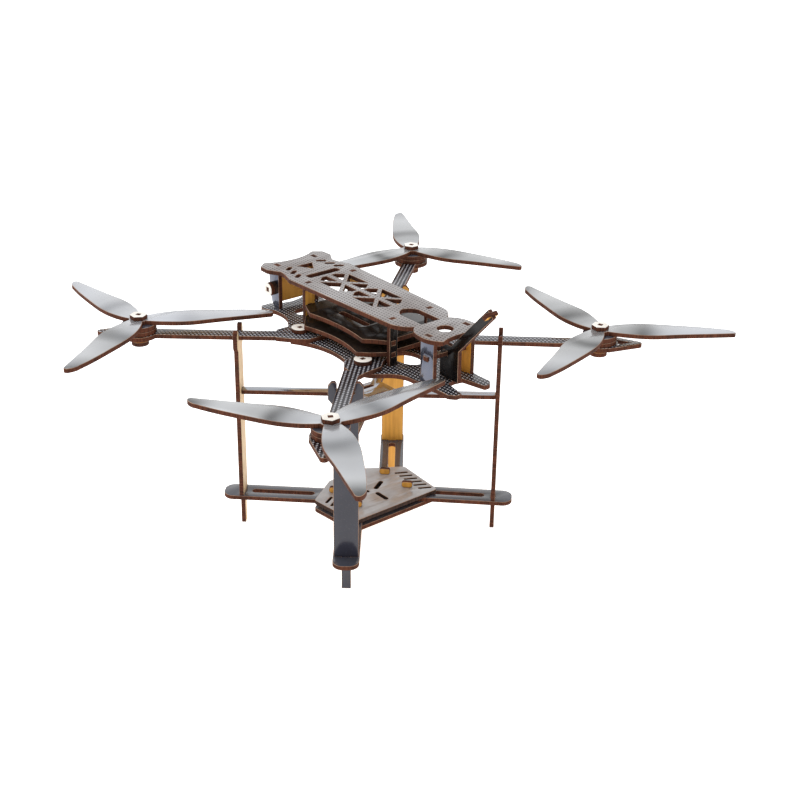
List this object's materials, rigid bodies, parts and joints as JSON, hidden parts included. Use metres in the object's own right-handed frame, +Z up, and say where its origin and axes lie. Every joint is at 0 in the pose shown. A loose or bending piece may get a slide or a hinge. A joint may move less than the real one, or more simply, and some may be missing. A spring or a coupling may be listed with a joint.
{
  "type": "quadcopter drone",
  "caption": "Flat-pack sheet-wood model of a four-rotor racing drone, lifted on a cross-shaped display stand with forked legs.",
  "frame": {"origin": "centre of the underside of the stand's lower plate; the feet reach 18 mm below it", "axes": "+Z up; -Y towards the machine's nose, +Y towards its antenna; +X to its left"},
  "size_m": [0.3768, 0.3721, 0.1974],
  "materials": {
    "carbon_sheet": "gloss woven-look film on plywood",
    "graphite_sheet": "gloss blue-grey film on plywood",
    "black_sheet": "gloss black film on plywood, bare wood inside",
    "mirror_sheet": "mirror-like grey film on plywood",
    "silver_sheet": "satin silver film on plywood",
    "pale_sheet": "bare pale plywood"
  },
  "bodies": {
    "stand": {"stand_lower_plate": "silver_sheet", "stand_top_plate": "silver_sheet", "stand_pegs": "graphite_sheet", "stand_arm_front_left": "graphite_sheet", "stand_arm_rear_left": "graphite_sheet", "stand_arm_front_right": "graphite_sheet", "stand_arm_rear_right": "graphite_sheet", "stand_leg_front_left": "graphite_sheet", "stand_leg_rear_left": "graphite_sheet", "stand_leg_front_right": "graphite_sheet", "stand_leg_rear_right": "graphite_sheet", "stand_brace": "graphite_sheet"},
    "airframe": {"deck_plate": "carbon_sheet", "arm_front_left": "carbon_sheet", "arm_rear_left": "carbon_sheet", "arm_front_right": "carbon_sheet", "arm_rear_right": "carbon_sheet", "arm_washers": "pale_sheet", "arm_pegs": "black_sheet", "roof_plate": "carbon_sheet", "nose_side_plate_left": "black_sheet", "nose_side_plate_right": "black_sheet", "tail_side_plate_left": "black_sheet", "tail_side_plate_right": "black_sheet", "nose_post_left": "black_sheet", "nose_post_right": "black_sheet", "tail_post_left": "black_sheet", "tail_post_right": "black_sheet", "control_board": "black_sheet", "power_board": "black_sheet", "camera_panel": "black_sheet", "camera_spacers": "black_sheet", "camera_washers": "pale_sheet", "antenna_fin": "black_sheet", "antenna_cross": "black_sheet", "tail_crossbar": "black_sheet", "motor_stator_front_left": "graphite_sheet", "motor_stator_rear_left": "graphite_sheet", "motor_stator_front_right": "graphite_sheet", "motor_stator_rear_right": "graphite_sheet"},
    "rotor_front_left": {"motor_bell_front_left": "graphite_sheet", "propeller_front_left": "mirror_sheet", "prop_nut_front_left": "pale_sheet", "motor_axle_front_left": "black_sheet", "motor_keeper_front_left": "graphite_sheet"},
    "rotor_rear_left": {"motor_bell_rear_left": "graphite_sheet", "propeller_rear_left": "mirror_sheet", "prop_nut_rear_left": "pale_sheet", "motor_axle_rear_left": "black_sheet", "motor_keeper_rear_left": "graphite_sheet"},
    "rotor_front_right": {"motor_bell_front_right": "graphite_sheet", "propeller_front_right": "mirror_sheet", "prop_nut_front_right": "pale_sheet", "motor_axle_front_right": "black_sheet", "motor_keeper_front_right": "graphite_sheet"},
    "rotor_rear_right": {"motor_bell_rear_right": "graphite_sheet", "propeller_rear_right": "mirror_sheet", "prop_nut_rear_right": "pale_sheet", "motor_axle_rear_right": "black_sheet", "motor_keeper_rear_right": "graphite_sheet"}
  },
  "joints": [
    {"name": "airframe_lift", "type": "slide", "parent": "stand", "child": "airframe", "axis": [0, 0, 1], "range_m": [0, 0.015]},
    {"name": "rotor_spin_front_left", "type": "hinge", "parent": "airframe", "child": "rotor_front_left", "pos_m": [0.118, -0.1012, 0.1317], "axis": [0, 0, 1], "continuous": true},
    {"name": "rotor_spin_rear_left", "type": "hinge", "parent": "airframe", "child": "rotor_rear_left", "pos_m": [0.111, 0.1017, 0.1317], "axis": [0, 0, 1], "continuous": true},
    {"name": "rotor_spin_front_right", "type": "hinge", "parent": "airframe", "child": "rotor_front_right", "pos_m": [-0.1186, -0.101, 0.1317], "axis": [0, 0, 1], "continuous": true},
    {"name": "rotor_spin_rear_right", "type": "hinge", "parent": "airframe", "child": "rotor_rear_right", "pos_m": [-0.1136, 0.0998, 0.1317], "axis": [0, 0, 1], "continuous": true}
  ]
}
